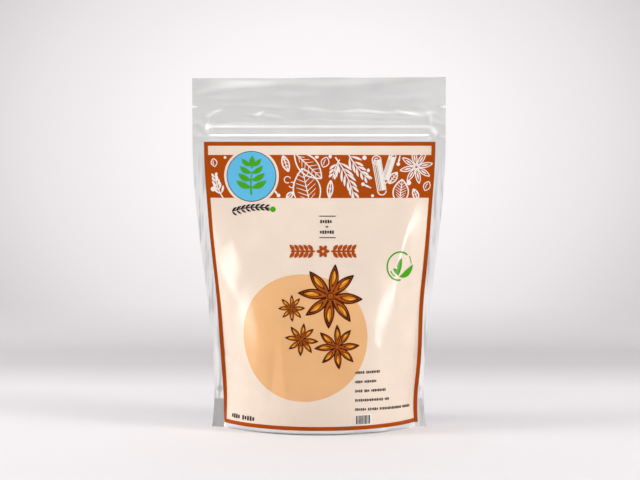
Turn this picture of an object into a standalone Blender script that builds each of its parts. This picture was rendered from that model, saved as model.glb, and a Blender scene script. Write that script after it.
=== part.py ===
"""Stand-up spice pouch with a press-to-close strip, filled, sealed and standing.

One closed solid: two wide faces of film, welded together down both sides and along the top, with a
gusset folded in between them at the bottom, so that the foot opens out and stands.

Metres. +X runs across the width, +Z is up and the printed front faces -Y. The origin is the middle of
the foot, on the surface that the pouch stands on.
"""

import math

import bmesh
import bpy

# The flat film, before filling.
FILM_WIDTH = 0.160
SIDE_SEAL = 0.008
SEAL_THICKNESS = 0.0006

# The filled shape.
HEIGHT = 0.222
FOOT_HALF_DEPTH = 0.0335
BELLY_HALF_DEPTH = 0.0355
BELLY_HEIGHT = 0.024
SHOULDER_HEIGHT = 0.181
TAPER_POWER = 1.9

# The press-to-close strip shows as two level ribs, each with a height above the floor and a swell.
RIB_HEIGHTS = (0.1853, 0.1913)
RIB_SWELL = 0.0011
RIB_SPREAD = 0.0016
RIB_END = 0.004

# A small V is cut in each side edge, to start the tear.
NOTCH_HEIGHT = 0.2034
NOTCH_DEPTH = 0.004
NOTCH_HALF_WIDTH = 0.0008

# The foot: a welded rim that stands on the floor, and the gusset arched up inside it.
RIM_WIDTH = 0.0015
ARCH_MIDDLE = 0.004
ARCH_SIDES = 0.014
ARCH_STEEPEST = 1.1

# How finely the solid is cut.
COLUMNS_ACROSS_FACE = 28
ROWS_UP_FACE = 20
LAYERS = (-1.0, -0.95, -0.7, -0.35, 0.0, 0.35, 0.7, 0.95, 1.0)

SILVER = (0.72, 0.72, 0.715, 1.0)

FACE_HALF_WIDTH = FILM_WIDTH / 2 - SIDE_SEAL
EDGE = FILM_WIDTH / 2
SAME_PLACE = 1e-6


def clear_scene():
    """Removes whatever the file opened with."""
    for obj in list(bpy.data.objects):
        bpy.data.objects.remove(obj, do_unlink=True)


def evenly(start, end, pieces):
    """Places from start to end, both ends included."""
    return [start + (end - start) * k / pieces for k in range(pieces + 1)]


def column_places():
    """Distances across the flat film at which the solid is cut: the two seals and the face between."""
    face = evenly(-FACE_HALF_WIDTH, FACE_HALF_WIDTH, COLUMNS_ACROSS_FACE)
    middle_of_seal = EDGE - 0.62 * SIDE_SEAL
    return [-EDGE, -middle_of_seal, *face, middle_of_seal, EDGE]


def row_places():
    """Heights at which the solid is cut, close together where the foot turns and over the ribs."""
    foot = [0.0, 0.002, 0.006, 0.012, 0.018]
    face = evenly(BELLY_HEIGHT, SHOULDER_HEIGHT, ROWS_UP_FACE)
    strip_top = RIB_HEIGHTS[1] + 2.5 * RIB_SPREAD
    strip = evenly(SHOULDER_HEIGHT, strip_top, 10)[1:]
    notch = [NOTCH_HEIGHT - NOTCH_HALF_WIDTH, NOTCH_HEIGHT, NOTCH_HEIGHT + NOTCH_HALF_WIDTH]
    header = evenly(NOTCH_HEIGHT + 0.006, HEIGHT, 3)
    return [*foot, *face, *strip, *notch, *header]


def bulge_at(height):
    """How far the middle of the face stands out from the welded seam, at this height."""
    if height < BELLY_HEIGHT:
        tuck = (1 - height / BELLY_HEIGHT) ** 2
        return BELLY_HALF_DEPTH - (BELLY_HALF_DEPTH - FOOT_HALF_DEPTH) * tuck
    rise = min(1.0, (height - BELLY_HEIGHT) / (SHOULDER_HEIGHT - BELLY_HEIGHT))
    return BELLY_HALF_DEPTH * (1 - rise**TAPER_POWER)


def arc_half_angle(bulge):
    """Half the angle of the arc that the face bends to, when its middle stands out by bulge.

    The film doesn't stretch, so the arc keeps the flat face's length: bulge = half width * (1 - cos a) / a.
    """
    low, high = 1e-5, math.pi / 2
    for _ in range(40):
        angle = (low + high) / 2
        if FACE_HALF_WIDTH * (1 - math.cos(angle)) / angle < bulge:
            low = angle
        else:
            high = angle
    return angle


def rib_swell_at(across, height):
    """How far the closing strip pushes the film out."""
    fade = min(1.0, max(0.0, (FACE_HALF_WIDTH - abs(across)) / RIB_END))
    return fade * sum(
        RIB_SWELL * math.exp(-(((height - rib) / RIB_SPREAD) ** 2)) for rib in RIB_HEIGHTS
    )


def film_point(across, height):
    """Where a point of the flat film ends up: its x, and how far it stands from the seam plane."""
    angle = arc_half_angle(bulge_at(height))
    radius = FACE_HALF_WIDTH / angle
    on_face = min(abs(across), FACE_HALF_WIDTH)
    turned = on_face / radius
    x = radius * math.sin(turned) + abs(across) - on_face
    depth = radius * (math.cos(turned) - math.cos(angle))
    depth += SEAL_THICKNESS / 2 + rib_swell_at(across, height)
    return math.copysign(x, across), depth


def foot_point(across, layer):
    """A point of the underside: flat on the rim, and arched between its two sides."""
    x, depth = film_point(across, 0.0)
    rim = min(RIM_WIDTH, 0.3 * depth)
    inner = depth - rim
    if abs(layer) == 1.0:
        return x, math.copysign(depth, layer), 0.0
    outermost = max(abs(w) for w in LAYERS if abs(w) < 1.0)
    share = layer / outermost
    if inner < RIM_WIDTH:
        return x, depth * (layer > 0) - depth * (layer < 0), 0.0
    towards_side = (across / FACE_HALF_WIDTH) ** 2
    arch = min(ARCH_MIDDLE + (ARCH_SIDES - ARCH_MIDDLE) * towards_side, ARCH_STEEPEST * inner)
    return x, share * inner, arch * (1 - share**2)


def cut(bm, faces, place, normal):
    """Cuts these faces along a plane through place."""
    parts = list({*faces, *(e for f in faces for e in f.edges), *(v for f in faces for v in f.verts)})
    bmesh.ops.bisect_plane(bm, geom=parts, plane_co=place, plane_no=normal)


def cut_block(columns, rows, layers):
    """A box as wide and as high as the flat film, cut into columns, rows and, underneath, layers."""
    bm = bmesh.new()
    bmesh.ops.create_cube(bm, size=2.0)
    bmesh.ops.translate(bm, verts=bm.verts, vec=(0, 0, 1))
    bmesh.ops.scale(bm, verts=bm.verts, vec=(EDGE, 1, HEIGHT / 2))
    for across in columns[1:-1]:
        cut(bm, bm.faces[:], (across, 0, 0), (1, 0, 0))
    for height in rows[1:-1]:
        cut(bm, bm.faces[:], (0, 0, height), (0, 0, 1))
    for layer in layers[1:-1]:
        under = [f for f in bm.faces if f.calc_center_median().z < SAME_PLACE]
        cut(bm, under, (0, layer, 0), (0, 1, 0))
    return bm


def fill_out(bm):
    """Moves each point of the flat block to its place on the filled pouch."""
    for vert in bm.verts:
        across, layer, height = vert.co
        if height < SAME_PLACE:
            nearest = min(LAYERS, key=lambda w: abs(w - layer))
            vert.co = foot_point(across, nearest)
            continue
        x, depth = film_point(across, height)
        if abs(abs(across) - EDGE) < SAME_PLACE and abs(height - NOTCH_HEIGHT) < SAME_PLACE:
            x -= math.copysign(NOTCH_DEPTH, x)
        vert.co = (x, math.copysign(depth, layer), height)


def film_material():
    """Dull silver laminate."""
    material = bpy.data.materials.new("silver_film")
    material.use_nodes = True
    shader = material.node_tree.nodes["Principled BSDF"]
    shader.inputs["Base Color"].default_value = SILVER
    shader.inputs["Metallic"].default_value = 0.8
    shader.inputs["Roughness"].default_value = 0.38
    return material


def build_pouch():
    """The whole pouch as one object."""
    bm = cut_block(column_places(), row_places(), LAYERS)
    fill_out(bm)
    bmesh.ops.remove_doubles(bm, verts=bm.verts, dist=SAME_PLACE)
    bmesh.ops.recalc_face_normals(bm, faces=bm.faces)
    bmesh.ops.triangulate(bm, faces=bm.faces)
    mesh = bpy.data.meshes.new("pouch")
    bm.to_mesh(mesh)
    bm.free()
    mesh.shade_smooth()
    mesh.set_sharp_from_angle(angle=math.radians(35))
    mesh.materials.append(film_material())
    pouch = bpy.data.objects.new("pouch", mesh)
    bpy.context.scene.collection.objects.link(pouch)


clear_scene()
build_pouch()
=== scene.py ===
"""Looks of a filled stand-up spice pouch: silver film, a glossy printed front and a plain studio.

Metres, and millimetres in the flat drawings of the print. +X runs across the width, +Z is up and
the printed face looks towards -Y. A place on the film is given by how far across and how far up it
was before the pouch was filled.
"""

import logging
import math
from collections.abc import Callable
from dataclasses import dataclass
from enum import Enum
from functools import reduce

import bmesh
import bpy
import numpy as np
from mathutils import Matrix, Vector


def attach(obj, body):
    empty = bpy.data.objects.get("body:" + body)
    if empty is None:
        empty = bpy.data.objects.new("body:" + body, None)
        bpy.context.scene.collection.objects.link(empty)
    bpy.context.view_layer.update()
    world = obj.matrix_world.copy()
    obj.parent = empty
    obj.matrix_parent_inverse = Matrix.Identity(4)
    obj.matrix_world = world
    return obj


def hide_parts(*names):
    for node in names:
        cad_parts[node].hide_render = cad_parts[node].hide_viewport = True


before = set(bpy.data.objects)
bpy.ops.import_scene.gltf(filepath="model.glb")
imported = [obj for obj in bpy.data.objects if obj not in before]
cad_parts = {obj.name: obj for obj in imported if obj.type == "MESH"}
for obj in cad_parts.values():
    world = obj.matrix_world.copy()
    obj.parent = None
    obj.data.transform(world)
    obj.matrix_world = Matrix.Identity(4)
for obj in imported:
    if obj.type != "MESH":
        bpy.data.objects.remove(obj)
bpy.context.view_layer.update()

MM = 0.001
SAME_PLACE = 1e-7

# Where a noise pattern, which seldom reaches 0 or 1, counts as low and as high.
PATTERN_RANGE = (0.3, 0.7)

# The colour sockets of a Mix node, which share their names with its other sockets.
MIX_FIRST, MIX_SECOND, MIX_RESULT = 6, 7, 2

Point = tuple[float, float]
Place = tuple[float, float, float]
Colour = tuple[float, float, float]
Stop = tuple[float, Colour]
Range = tuple[float, float, float, float]
Edge = Callable[[float], float]
Mesh = bmesh.types.BMesh
Socket = bpy.types.NodeSocket
Sockets = dict[str | int, object]

log = logging.getLogger("pouch")


class Slot(Enum):
    """The record's material slots."""

    FILM = "film"
    GROUND = "print_ground"
    ORANGE = "print_orange"
    DETAIL = "print_detail"


class Level(Enum):
    """How many layers of ink lie under a layer."""

    GROUND = 0
    FIELD = 1
    MARK = 2
    OVER = 3
    TOP = 4
    CROWN = 5
    PEAK = 6


def linear(red: int, green: int, blue: int) -> Colour:
    """Turns a colour as a paint chart gives it, 0 to 255, into the linear one that shaders take.

    Args:
        red: Red, 0 to 255.
        green: Green, 0 to 255.
        blue: Blue, 0 to 255.

    Returns:
        The linear colour, 0 to 1.
    """
    shares = [channel / 255 for channel in (red, green, blue)]
    return tuple(s / 12.92 if s <= 0.04045 else ((s + 0.055) / 1.055) ** 2.4 for s in shares)


def ease(value: np.ndarray, low: float, high: float) -> np.ndarray:
    """A smooth step from 0 at low to 1 at high.

    Args:
        value: Where to read the step.
        low: Where it starts to rise.
        high: Where it has risen.

    Returns:
        The step's height, 0 to 1.
    """
    share = np.clip((value - low) / (high - low), 0.0, 1.0)
    return share * share * (3 - 2 * share)


def hump(value: np.ndarray, low: float, full: float, falling: float, gone: float) -> np.ndarray:
    """A smooth rise from 0 at low to 1 at full, and a smooth fall back to 0.

    Args:
        value: Where to read it.
        low: Where it starts to rise.
        full: Where it has risen.
        falling: Where it starts to fall.
        gone: Where it has fallen.

    Returns:
        Its height, 0 to 1.
    """
    return ease(value, low, full) * (1 - ease(value, falling, gone))


# ------------------------------------------------------------------------------------- shader nodes


class NodeKit:
    """A tree of shader nodes, with the few nodes that the finishes and the room share."""

    def __init__(self, owner: bpy.types.Material | bpy.types.World) -> None:
        """Starts the tree.

        Args:
            owner: The material or the world that it belongs to.
        """
        owner.use_nodes = True
        self.tree = owner.node_tree
        kind = "World" if isinstance(owner, bpy.types.World) else "Material"
        self.output = self.tree.nodes[f"{kind} Output"].inputs["Surface"]

    def plug(self, socket: Socket, value: object) -> None:
        """Fills an input.

        Args:
            socket: The input.
            value: What goes into it: another node's output, or a fixed value.
        """
        if isinstance(value, Socket):
            self.tree.links.new(value, socket)
        else:
            socket.default_value = value

    def add(self, kind: str, sockets: Sockets, **settings: object) -> bpy.types.Node:
        """Adds a node.

        Args:
            kind: The node's type, without the word that all shader nodes start with.
            sockets: What goes into each of its inputs.
            settings: The node's own properties.

        Returns:
            The node.
        """
        node = self.tree.nodes.new(f"ShaderNode{kind}")
        for name, setting in settings.items():
            setattr(node, name, setting)
        for name, value in sockets.items():
            self.plug(node.inputs[name], value)
        return node

    def ramp(self, pattern: Socket, stops: tuple[Stop, ...]) -> Socket:
        """Adds a colour ramp.

        Args:
            pattern: What runs along it, 0 to 1.
            stops: Its stops, of which the first and the second are the ramp's own two.

        Returns:
            The ramp's colour.
        """
        node = self.add("ValToRGB", {"Fac": pattern})
        elements = node.color_ramp.elements
        for spot, (share, tone) in enumerate(stops):
            stop = elements[spot] if spot < 2 else elements.new(share)
            stop.position, stop.color = share, (*tone, 1)
        return node.outputs["Color"]

    def spread(
        self, value: Socket, start: float, end: float, low: float = 0.0, high: float = 1.0
    ) -> Socket:
        """Turns a value that runs from start to end into one that runs from low to high.

        Args:
            value: The value.
            start: Where it starts.
            end: Where it ends.
            low: What the start becomes.
            high: What the end becomes.

        Returns:
            The new value.
        """
        ends = {"From Min": start, "From Max": end, "To Min": low, "To Max": high}
        return self.add("MapRange", {"Value": value, **ends}).outputs["Result"]

    def math(self, operation: str, *values: Socket | float) -> Socket:
        """Calculates with one or two values.

        Args:
            operation: What is done with them.
            values: The values.

        Returns:
            The result.
        """
        return self.add("Math", dict(enumerate(values)), operation=operation).outputs["Value"]

    def product(self, *values: Socket | float) -> Socket:
        """Multiplies values with one another."""
        return reduce(lambda first, second: self.math("MULTIPLY", first, second), values)

    def seen(self) -> Socket:
        """Tells rays that show something, mirrored or not, from those that only light the set.

        Returns:
            1 for the first and 0 for the others.
        """
        rays = self.add("LightPath", {}).outputs
        kinds = [rays[f"Is {kind} Ray"] for kind in ("Camera", "Glossy", "Transmission")]
        return reduce(lambda first, second: self.math("MAXIMUM", first, second), kinds)

    def blend(self, share: Socket, first: Socket, second: Socket) -> Socket:
        """Mixes two shaders.

        Args:
            share: How much of the second shows, 0 to 1.
            first: One shader.
            second: The other.

        Returns:
            The mixed shader.
        """
        return self.add("MixShader", {"Fac": share, 1: first, 2: second}).outputs["Shader"]


class Surface(NodeKit):
    """A material whose patterns read Object coordinates."""

    def __init__(self, name: str) -> None:
        """Starts the material.

        Args:
            name: The material's name.
        """
        self.material = bpy.data.materials.new(name)
        super().__init__(self.material)
        self.shader = self.tree.nodes["Principled BSDF"]
        self.coordinates = self.add("TexCoord", {}).outputs["Object"]

    def fill(self, name: str, value: object) -> None:
        """Fills one of the main shader's inputs."""
        self.plug(self.shader.inputs[name], value)

    def noise(self, scale: float, detail: float, stretch: float = 1.0) -> Socket:
        """Adds a noise pattern.

        Args:
            scale: Waves in a metre.
            detail: Finer noise added to it.
            stretch: How much longer its waves are upwards than across.

        Returns:
            The pattern's height, 0 to 1.
        """
        squeeze = self.add("Mapping", {"Vector": self.coordinates, "Scale": (1, 1, 1 / stretch)})
        sockets = {"Vector": squeeze.outputs["Vector"], "Scale": scale, "Detail": detail}
        return self.add("TexNoise", sockets).outputs["Fac"]

    def axes(self) -> tuple[Socket, ...]:
        """Gives the three Object coordinates."""
        return tuple(self.add("SeparateXYZ", {"Vector": self.coordinates}).outputs)

    def colour(self, pattern: Socket, low: Colour, high: Colour) -> None:
        """Colours the surface from low to high as the pattern rises.

        Args:
            pattern: Height of the pattern, 0 to 1.
            low: Colour where it is low.
            high: Colour where it is high.
        """
        start, end = PATTERN_RANGE
        self.fill("Base Color", self.ramp(pattern, ((start, low), (end, high))))

    def tint(self, where: Socket, tone: Colour) -> None:
        """Mixes a tone into the colour already set.

        Args:
            where: How much of the tone shows, 0 to 1.
            tone: The tone.
        """
        before = self.shader.inputs["Base Color"].links[0].from_socket
        inputs = {"Factor": where, MIX_FIRST: before, MIX_SECOND: (*tone, 1)}
        self.fill("Base Color", self.add("Mix", inputs, data_type="RGBA").outputs[MIX_RESULT])

    def roughness(self, pattern: Socket, low: float, high: float) -> None:
        """Roughens the surface from low to high as the pattern rises.

        Args:
            pattern: Height of the pattern, 0 to 1.
            low: Roughness where it is low.
            high: Roughness where it is high.
        """
        self.fill("Roughness", self.spread(pattern, *PATTERN_RANGE, low, high))

    def bump(self, pattern: Socket, depth: float) -> None:
        """Raises the surface by the pattern.

        Args:
            pattern: Height of the pattern, 0 to 1.
            depth: How far it rises, in metres.
        """
        bump = self.add("Bump", {"Height": pattern, "Distance": depth})
        self.fill("Normal", bump.outputs["Normal"])


# ----------------------------------------------------------------------------------------- finishes


@dataclass(frozen=True)
class SilverFilm:
    """Dull silver laminate, very finely grained, a little uneven in its sheen."""

    base: Colour = linear(237, 237, 235)
    shade: Colour = linear(232, 232, 231)
    # A painted highlight for the side seals, and darker painted reflection streaks through it, with
    # their size.
    seal_highlight: Colour = linear(255, 255, 254)
    reflection_streak: Colour = linear(200, 202, 204)
    reflection_streak_width: float = 2.2 * MM
    reflection_streak_stretch: float = 16.0
    # Painted shade for the bottom corners and for the dent above each.
    weld: Colour = linear(181, 182, 181)
    # Where the seals' painted highlight lies: how far from the seam plane, and between which
    # heights.
    seal_highlight_depths: Point = (3.0 * MM, 1.4 * MM)
    seal_highlight_heights: Point = (178 * MM, 150 * MM)
    # Where the corners' painted shade lies, and how strong it is on the right.
    corner_shade_height: float = 18.4 * MM
    corner_shade_blur: float = 0.7 * MM
    corner_shade_inner: float = 59.4 * MM
    corner_shade_right: float = 0.5
    dent: Point = (63.1 * MM, 24.8 * MM)
    dent_shade_reach: Point = (2.7 * MM, 0.9 * MM)
    metallic: float = 0.6
    roughness: tuple[float, float] = (0.3, 0.36)
    mottle_size: float = 16 * MM
    grain_size: float = 0.5 * MM
    grain_depth: float = 0.012 * MM

    def material(self) -> bpy.types.Material:
        """Makes the laminate's material.

        Returns:
            The material.
        """
        kit = Surface("silver_film")
        mottle = kit.noise(1 / self.mottle_size, detail=3)
        kit.colour(mottle, self.shade, self.base)
        # Painted highlight on the side seals.
        self.paint_seal_highlight(kit)
        # Painted shade on the bottom corners.
        self.paint_corner_shade(kit)
        kit.roughness(mottle, *self.roughness)
        kit.bump(kit.noise(1 / self.grain_size, detail=2), self.grain_depth)
        kit.fill("Metallic", self.metallic)
        return kit.material

    def paint_seal_highlight(self, kit: Surface) -> None:
        """Paints the flat side seals lighter, fading out towards the top, with darker upright
        streaks: a painted highlight with painted reflection streaks in it.

        Args:
            kit: The material, whose colour is set already.
        """
        _, y, z = kit.axes()
        flat = kit.spread(kit.math("ABSOLUTE", y), *self.seal_highlight_depths)
        sealed = kit.product(flat, kit.spread(z, *self.seal_highlight_heights))
        streaks = kit.noise(1 / self.reflection_streak_width, 2, self.reflection_streak_stretch)
        # Painted highlight on the seals, then darker painted reflection streaks over it.
        kit.tint(kit.product(sealed, kit.spread(streaks, 0.4, 0.55, 0.3, 1.0)), self.seal_highlight)
        kit.tint(kit.product(sealed, kit.spread(streaks, 0.44, 0.36, 0.0, 0.7)), self.reflection_streak)

    def paint_corner_shade(self, kit: Surface) -> None:
        """Paints shade on the bottom corners, where four layers of film are welded, and in a dent
        above each, weaker on the right.

        Args:
            kit: The material, whose colour is set already.
        """
        x, _, z = kit.axes()
        aside = kit.math("ABSOLUTE", x)
        blur = self.corner_shade_blur
        low = kit.spread(z, self.corner_shade_height + blur, self.corner_shade_height - blur)
        outer = kit.spread(aside, self.corner_shade_inner, self.corner_shade_inner + 1.2 * MM)
        strength = kit.spread(x, -1 * MM, 1 * MM, 1.0, self.corner_shade_right)
        # Painted shade on the welded corners.
        kit.tint(kit.product(low, outer, strength), self.weld)
        # Painted shade in the dent above each corner, an octagon that fades outwards.
        offsets = (kit.math("SUBTRACT", value, at) for value, at in zip((aside, z), self.dent))
        across, along = (kit.math("ABSOLUTE", offset) for offset in offsets)
        octagon = kit.product(kit.math("ADD", across, along), 0.72)
        away = kit.math("MAXIMUM", kit.math("MAXIMUM", across, along), octagon)
        kit.tint(kit.product(kit.spread(away, *self.dent_shade_reach, 0.0, 0.75), strength), self.weld)


@dataclass(frozen=True)
class Ink:
    """Ink under a gloss film: its colour varies slightly and its gloss a little more."""

    name: str
    colour: Colour
    slot: Slot = Slot.DETAIL
    unevenness: float = 0.035
    roughness: tuple[float, float] = (0.13, 0.22)
    patch_size: float = 22 * MM
    dot_size: float = 0.35 * MM
    dot_depth: float = 0.002 * MM
    sheen: float = 0.25

    def material(self) -> bpy.types.Material:
        """Makes the ink's material.

        Returns:
            The material.
        """
        kit = Surface(self.name)
        patches = kit.noise(1 / self.patch_size, detail=3)
        darker = tuple(c * (1 - self.unevenness) for c in self.colour)
        lighter = tuple(min(1.0, c * (1 + self.unevenness)) for c in self.colour)
        kit.colour(patches, darker, lighter)
        kit.roughness(patches, *self.roughness)
        kit.bump(kit.noise(1 / self.dot_size, detail=1), self.dot_depth)
        kit.fill("Specular IOR Level", self.sheen)
        return kit.material


# -------------------------------------------------------------------------------- shape of the film


@dataclass(frozen=True)
class Crease:
    """A straight crease in the film: a ridge, or a furrow where its height is negative."""

    start: Point
    end: Point
    width: float
    height: float

    def lift(self, across: np.ndarray, up: np.ndarray) -> np.ndarray:
        """How far the crease lifts the film.

        Args:
            across: Places across the film.
            up: Places up the film.

        Returns:
            The lift at each place.
        """
        run = np.subtract(self.end, self.start)
        length = float(np.hypot(*run))
        along = ((across - self.start[0]) * run[0] + (up - self.start[1]) * run[1]) / length
        aside = ((across - self.start[0]) * run[1] - (up - self.start[1]) * run[0]) / length
        share = np.clip(along / length, 0.0, 1.0)
        past_end = along - share * length
        away = np.sqrt(aside**2 + past_end**2 + (0.15 * self.width) ** 2) / self.width
        return self.height * np.exp(-(away**1.5)) * (0.25 + 0.75 * np.sin(math.pi * share) ** 0.6)


@dataclass(frozen=True)
class Waves:
    """Smooth, irregular undulation of the film."""

    seed: int
    length_across: float
    length_up: float
    height: float
    count: int = 10

    def lift(self, across: np.ndarray, up: np.ndarray, seed: int = 0) -> np.ndarray:
        """How far the waves lift the film.

        Args:
            across: Places across the film.
            up: Places up the film.
            seed: Added to the waves' own, so that two faces differ.

        Returns:
            The lift at each place.
        """
        draw = np.random.RandomState(self.seed + seed)
        total = np.zeros(np.broadcast(across, up).shape)
        for _ in range(self.count):
            heading = draw.uniform(-math.pi, math.pi)
            pace = draw.uniform(0.6, 1.5)
            start = draw.uniform(0, 2 * math.pi)
            turns = across / self.length_across * math.cos(heading)
            turns = turns + up / self.length_up * math.sin(heading)
            total += np.sin(2 * math.pi * pace * turns + start)
        return self.height * total / math.sqrt(self.count)


# The film's undulations. One as long as ENDLESS hardly changes in that direction over the pouch.
# The height of an undercut's waves is a share of the undercut's own height, and not a length.
ENDLESS = 500 * MM
BROAD = Waves(0, 62 * MM, 88 * MM, 0.42 * MM)
LUMPS = Waves(1, 17 * MM, 21 * MM, 0.035 * MM, 14)
PUCKER = Waves(2, 30 * MM, 26 * MM, 0.26 * MM)
HEADSPACE = Waves(3, 30 * MM, 9 * MM, 0.36 * MM)
HEADER = Waves(4, 60 * MM, 12 * MM, 0.26 * MM)
CRINKLE = Waves(5, 5.5 * MM, 7 * MM, 0.2 * MM, 12)
FLAP = Waves(41, 95 * MM, 400 * MM, 0.7 * MM, 5)
RIPPLE = Waves(43, ENDLESS, 42 * MM, 0.45 * MM, 6)
TOP_EDGE = Waves(47, 52 * MM, ENDLESS, 0.2 * MM, 6)
BACK_UNDERCUT = Waves(61, 24 * MM, ENDLESS, 0.3, 7)
FRONT_UNDERCUT = Waves(59, 24 * MM, ENDLESS, 0.3, 7)

# The printed face's creases, in mm: start, end, width and height.
FRONT_CREASES = tuple(
    Crease((a[0] * MM, a[1] * MM), (b[0] * MM, b[1] * MM), width * MM, height * MM)
    for a, b, width, height in (
        ((-24, 64), (-20.5, 20), 2.4, 1.0),
        ((-28, 52), (-31, 20), 3.0, -0.8),
        ((-75, 49), (-52, 36), 2.2, -0.7),
        ((-74, 45), (-56, 34), 2.0, 0.35),
        ((-58, 126), (-44, 92), 5.5, 0.6),
        ((-64, 92), (-58, 44), 4.5, 0.45),
        ((58, 24), (66, 44), 3.2, 0.4),
        ((-6, 8), (8, 15), 3.6, 0.25),
        ((-71.5, 185), (-67, 198), 1.6, 1.25),
        ((-67, 198), (-58, 203), 1.7, 0.7),
        ((-68, 194.5), (-50, 197), 2.4, -0.8),
        ((-52, 197.5), (-38, 195), 2.3, -0.6),
        ((-40, 196), (-33, 201.5), 1.6, 0.6),
        ((70, 193), (68.5, 200), 1.4, 1.0),
        ((72, 184), (71, 191), 1.3, 1.1),
        ((67, 183), (71, 187), 1.3, 0.45),
        ((44, 202), (67, 195.5), 2.3, 0.75),
        ((20, 202), (40, 199), 2.2, 0.4),
        ((72, 199), (79, 196), 1.3, 0.3),
        ((-78, 182), (-73, 187), 1.2, 0.35),
        ((62, 214), (67, 218), 1.4, 0.5),
        ((-70, 214.6), (-26, 216), 3.6, 1.1),
        ((-20, 216), (30, 214.5), 4.5, 0.5),
        ((38, 56), (56, 30), 5.0, 0.55),
        ((50, 92), (60, 146), 5.5, 0.8),
        ((55, 50), (50, 92), 4.5, 0.5),
    )
)


@dataclass(frozen=True)
class PouchShape:
    """Where each place of the flat film ends up once the pouch is filled and stands."""

    half_film: float = 80 * MM
    side_seal: float = 8 * MM
    seal_thickness: float = 0.5 * MM
    height: float = 222 * MM
    foot_depth: float = 33.5 * MM
    belly_depth: float = 35.5 * MM
    belly_height: float = 24 * MM
    shoulder_height: float = 181 * MM
    taper_power: float = 1.85
    rib_heights: tuple[float, float] = (184.4 * MM, 189.9 * MM)
    rib_swell: float = 0.46 * MM
    rib_above: float = 1.15 * MM
    rib_below: float = 2.0 * MM
    furrow_height: float = 186.3 * MM
    furrow_width: float = 0.6 * MM
    furrow_depth: float = 0.3 * MM
    rib_half_length: float = 71.6 * MM
    rib_fade: float = 3 * MM
    strip_starts: Point = (181.4 * MM, 183.4 * MM)
    strip_ends: Point = (190.4 * MM, 197 * MM)
    notch_height: float = 203.4 * MM
    notch_depth: float = 4 * MM
    notch_half_width: float = 0.8 * MM
    rim_width: float = 1.5 * MM
    arch_middle: float = 4 * MM
    arch_sides: float = 14 * MM
    arch_steepest: float = 1.1
    fold_height: float = 0.35 * MM
    punch_aside: float = 76.5 * MM
    punch_height: float = 24.5 * MM
    punch_radius: float = 2.0 * MM
    punch_depth: float = 0.3 * MM
    corner_height: float = 19 * MM
    corner_lean: float = 2.6 * MM
    undercut_height: float = 1.9 * MM
    undercut_depth: float = 3.0 * MM
    top_tilt: float = 0.5 * MM
    top_dip: float = 0.35 * MM
    edge_fade: float = 14 * MM
    filled: Range = (0, 18 * MM, 150 * MM, 178 * MM)
    pucker_middle: float = 60 * MM
    pucker_reach: float = 10 * MM
    strip_zone: Range = (180 * MM, 184 * MM, 203 * MM, 208 * MM)
    strip_corner: Point = (66 * MM, 70 * MM)
    headspace: Range = (193 * MM, 197 * MM, 201 * MM, 206 * MM)
    header: Point = (202 * MM, 210 * MM)
    flap_starts: float = 188 * MM
    fin_ends: Point = (175 * MM, 190 * MM)
    top_starts: float = 204 * MM
    front_seed: int = 11
    back_seed: int = 71
    creases: tuple[Crease, ...] = FRONT_CREASES

    @property
    def half_face(self) -> float:
        """Half the width of the film between its side seals."""
        return self.half_film - self.side_seal

    def bulge(self, up: np.ndarray) -> np.ndarray:
        """How far the middle of the face stands out from the seam, before waves and creases.

        Args:
            up: Places up the film.

        Returns:
            The bulge at each place.
        """
        tuck = np.clip(1 - up / self.belly_height, 0, 1) ** 2
        rise = np.clip((up - self.belly_height) / (self.shoulder_height - self.belly_height), 0, 1)
        taper = 1 - rise**self.taper_power
        return self.belly_depth * taper - (self.belly_depth - self.foot_depth) * tuck

    def half_angle(self, bulge: np.ndarray) -> np.ndarray:
        """Half the angle of the arc that a face of fixed length bends to, for its bulge.

        Args:
            bulge: How far the middle stands out.

        Returns:
            The half angle, in radians.
        """
        low = np.full(np.shape(bulge), 1e-4)
        high = np.full(np.shape(bulge), math.pi / 2)
        for _ in range(40):
            angle = (low + high) / 2
            flat = self.half_face * (1 - np.cos(angle)) / angle < bulge
            low = np.where(flat, angle, low)
            high = np.where(flat, high, angle)
        return angle

    def rib_lift(self, across: np.ndarray, up: np.ndarray) -> np.ndarray:
        """How far the closing strip's two ribs push the film out.

        Args:
            across: Places across the film.
            up: Places up the film.

        Returns:
            The lift at each place.
        """
        fade = 1 - ease(np.abs(across), self.rib_half_length - self.rib_fade, self.rib_half_length)
        lift = np.zeros(np.broadcast(across, up).shape)
        for rib in self.rib_heights:
            spread = np.where(up > rib, self.rib_above, self.rib_below)
            lift = np.maximum(lift, np.exp(-(np.abs((up - rib) / spread) ** 2.2)))
        plateau = hump(up, *self.strip_starts, *self.strip_ends)
        furrow = np.exp(-(((up - self.furrow_height) / self.furrow_width) ** 2))
        return fade * (self.rib_swell * lift + self.furrow_depth * plateau * (1 - furrow))

    def waves(self, across: np.ndarray, up: np.ndarray, seed: int) -> np.ndarray:
        """How far the soft undulations lift a face.

        Args:
            across: Places across the film.
            up: Places up the film.
            seed: Makes the two faces differ.

        Returns:
            The lift at each place.
        """
        aside = np.abs(across)
        inside = 1 - ease(aside, self.half_face - self.edge_fade, self.half_face)
        filled = hump(up, *self.filled)
        by_side = np.exp(-(((aside - self.pucker_middle) / self.pucker_reach) ** 2))
        shares = (
            (BROAD, inside * filled),
            (LUMPS, inside * filled),
            (PUCKER, by_side * filled),
            (HEADSPACE, inside * hump(up, *self.headspace)),
            (HEADER, ease(up, *self.header)),
            (CRINKLE, ease(aside, *self.strip_corner) * hump(up, *self.strip_zone)),
        )
        return sum(waves.lift(across, up, seed) * share for waves, share in shares)

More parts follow.
